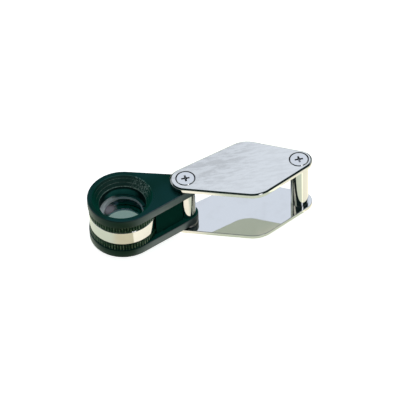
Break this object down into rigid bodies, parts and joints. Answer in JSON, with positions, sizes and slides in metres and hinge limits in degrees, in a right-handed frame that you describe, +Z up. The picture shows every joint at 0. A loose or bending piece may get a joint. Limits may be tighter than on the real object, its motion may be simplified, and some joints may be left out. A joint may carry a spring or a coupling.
{
  "type": "folding loupe",
  "caption": "Folding pocket loupe: a round black lens holder with a bright band swings out of a kite-shaped bright metal case.",
  "frame": {"origin": "centre of the case's underside, midway between the two posts", "axes": "+X along the case from the pivot post to the end post, +Z up along the posts"},
  "size_m": [0.0697, 0.0236, 0.0196],
  "materials": {
    "plated_plate": "polished",
    "plated_post": "polished",
    "case_screw": "polished",
    "washer_steel": "satin",
    "black_anodised": "satin",
    "knurled_black": "satin",
    "inner_black": "matte",
    "bright_band": "polished",
    "dowel_steel": "satin",
    "flint_glass": "polished",
    "crown_glass": "polished"
  },
  "bodies": {
    "case": {"case_plate_bottom": "plated_plate", "case_plate_top": "plated_plate", "pivot_post": "plated_post", "end_post": "plated_post", "pivot_screw_bottom": "case_screw", "pivot_screw_top": "case_screw", "end_screw_bottom": "case_screw", "end_screw_top": "case_screw", "thrust_washer": "washer_steel", "spring_washer": "washer_steel"},
    "holder": {"arm_lower": "black_anodised", "arm_upper": "black_anodised", "arm_bridge": "inner_black", "bridge_dowels": "dowel_steel", "lens_barrel": "inner_black", "barrel_band": "bright_band", "knurled_ring_lower": "knurled_black", "knurled_ring_upper": "knurled_black", "bezel_field": "black_anodised", "bezel_eye": "black_anodised", "lens_cell": "inner_black", "retaining_ring": "inner_black", "flint_field": "flint_glass", "crown_lens": "crown_glass", "flint_eye": "flint_glass"}
  },
  "joints": [
    {"name": "holder_swing", "type": "hinge", "parent": "case", "child": "holder", "pos_m": [-0.0176, 0, 0.0098], "axis": [0, 0, 1], "continuous": true}
  ]
}
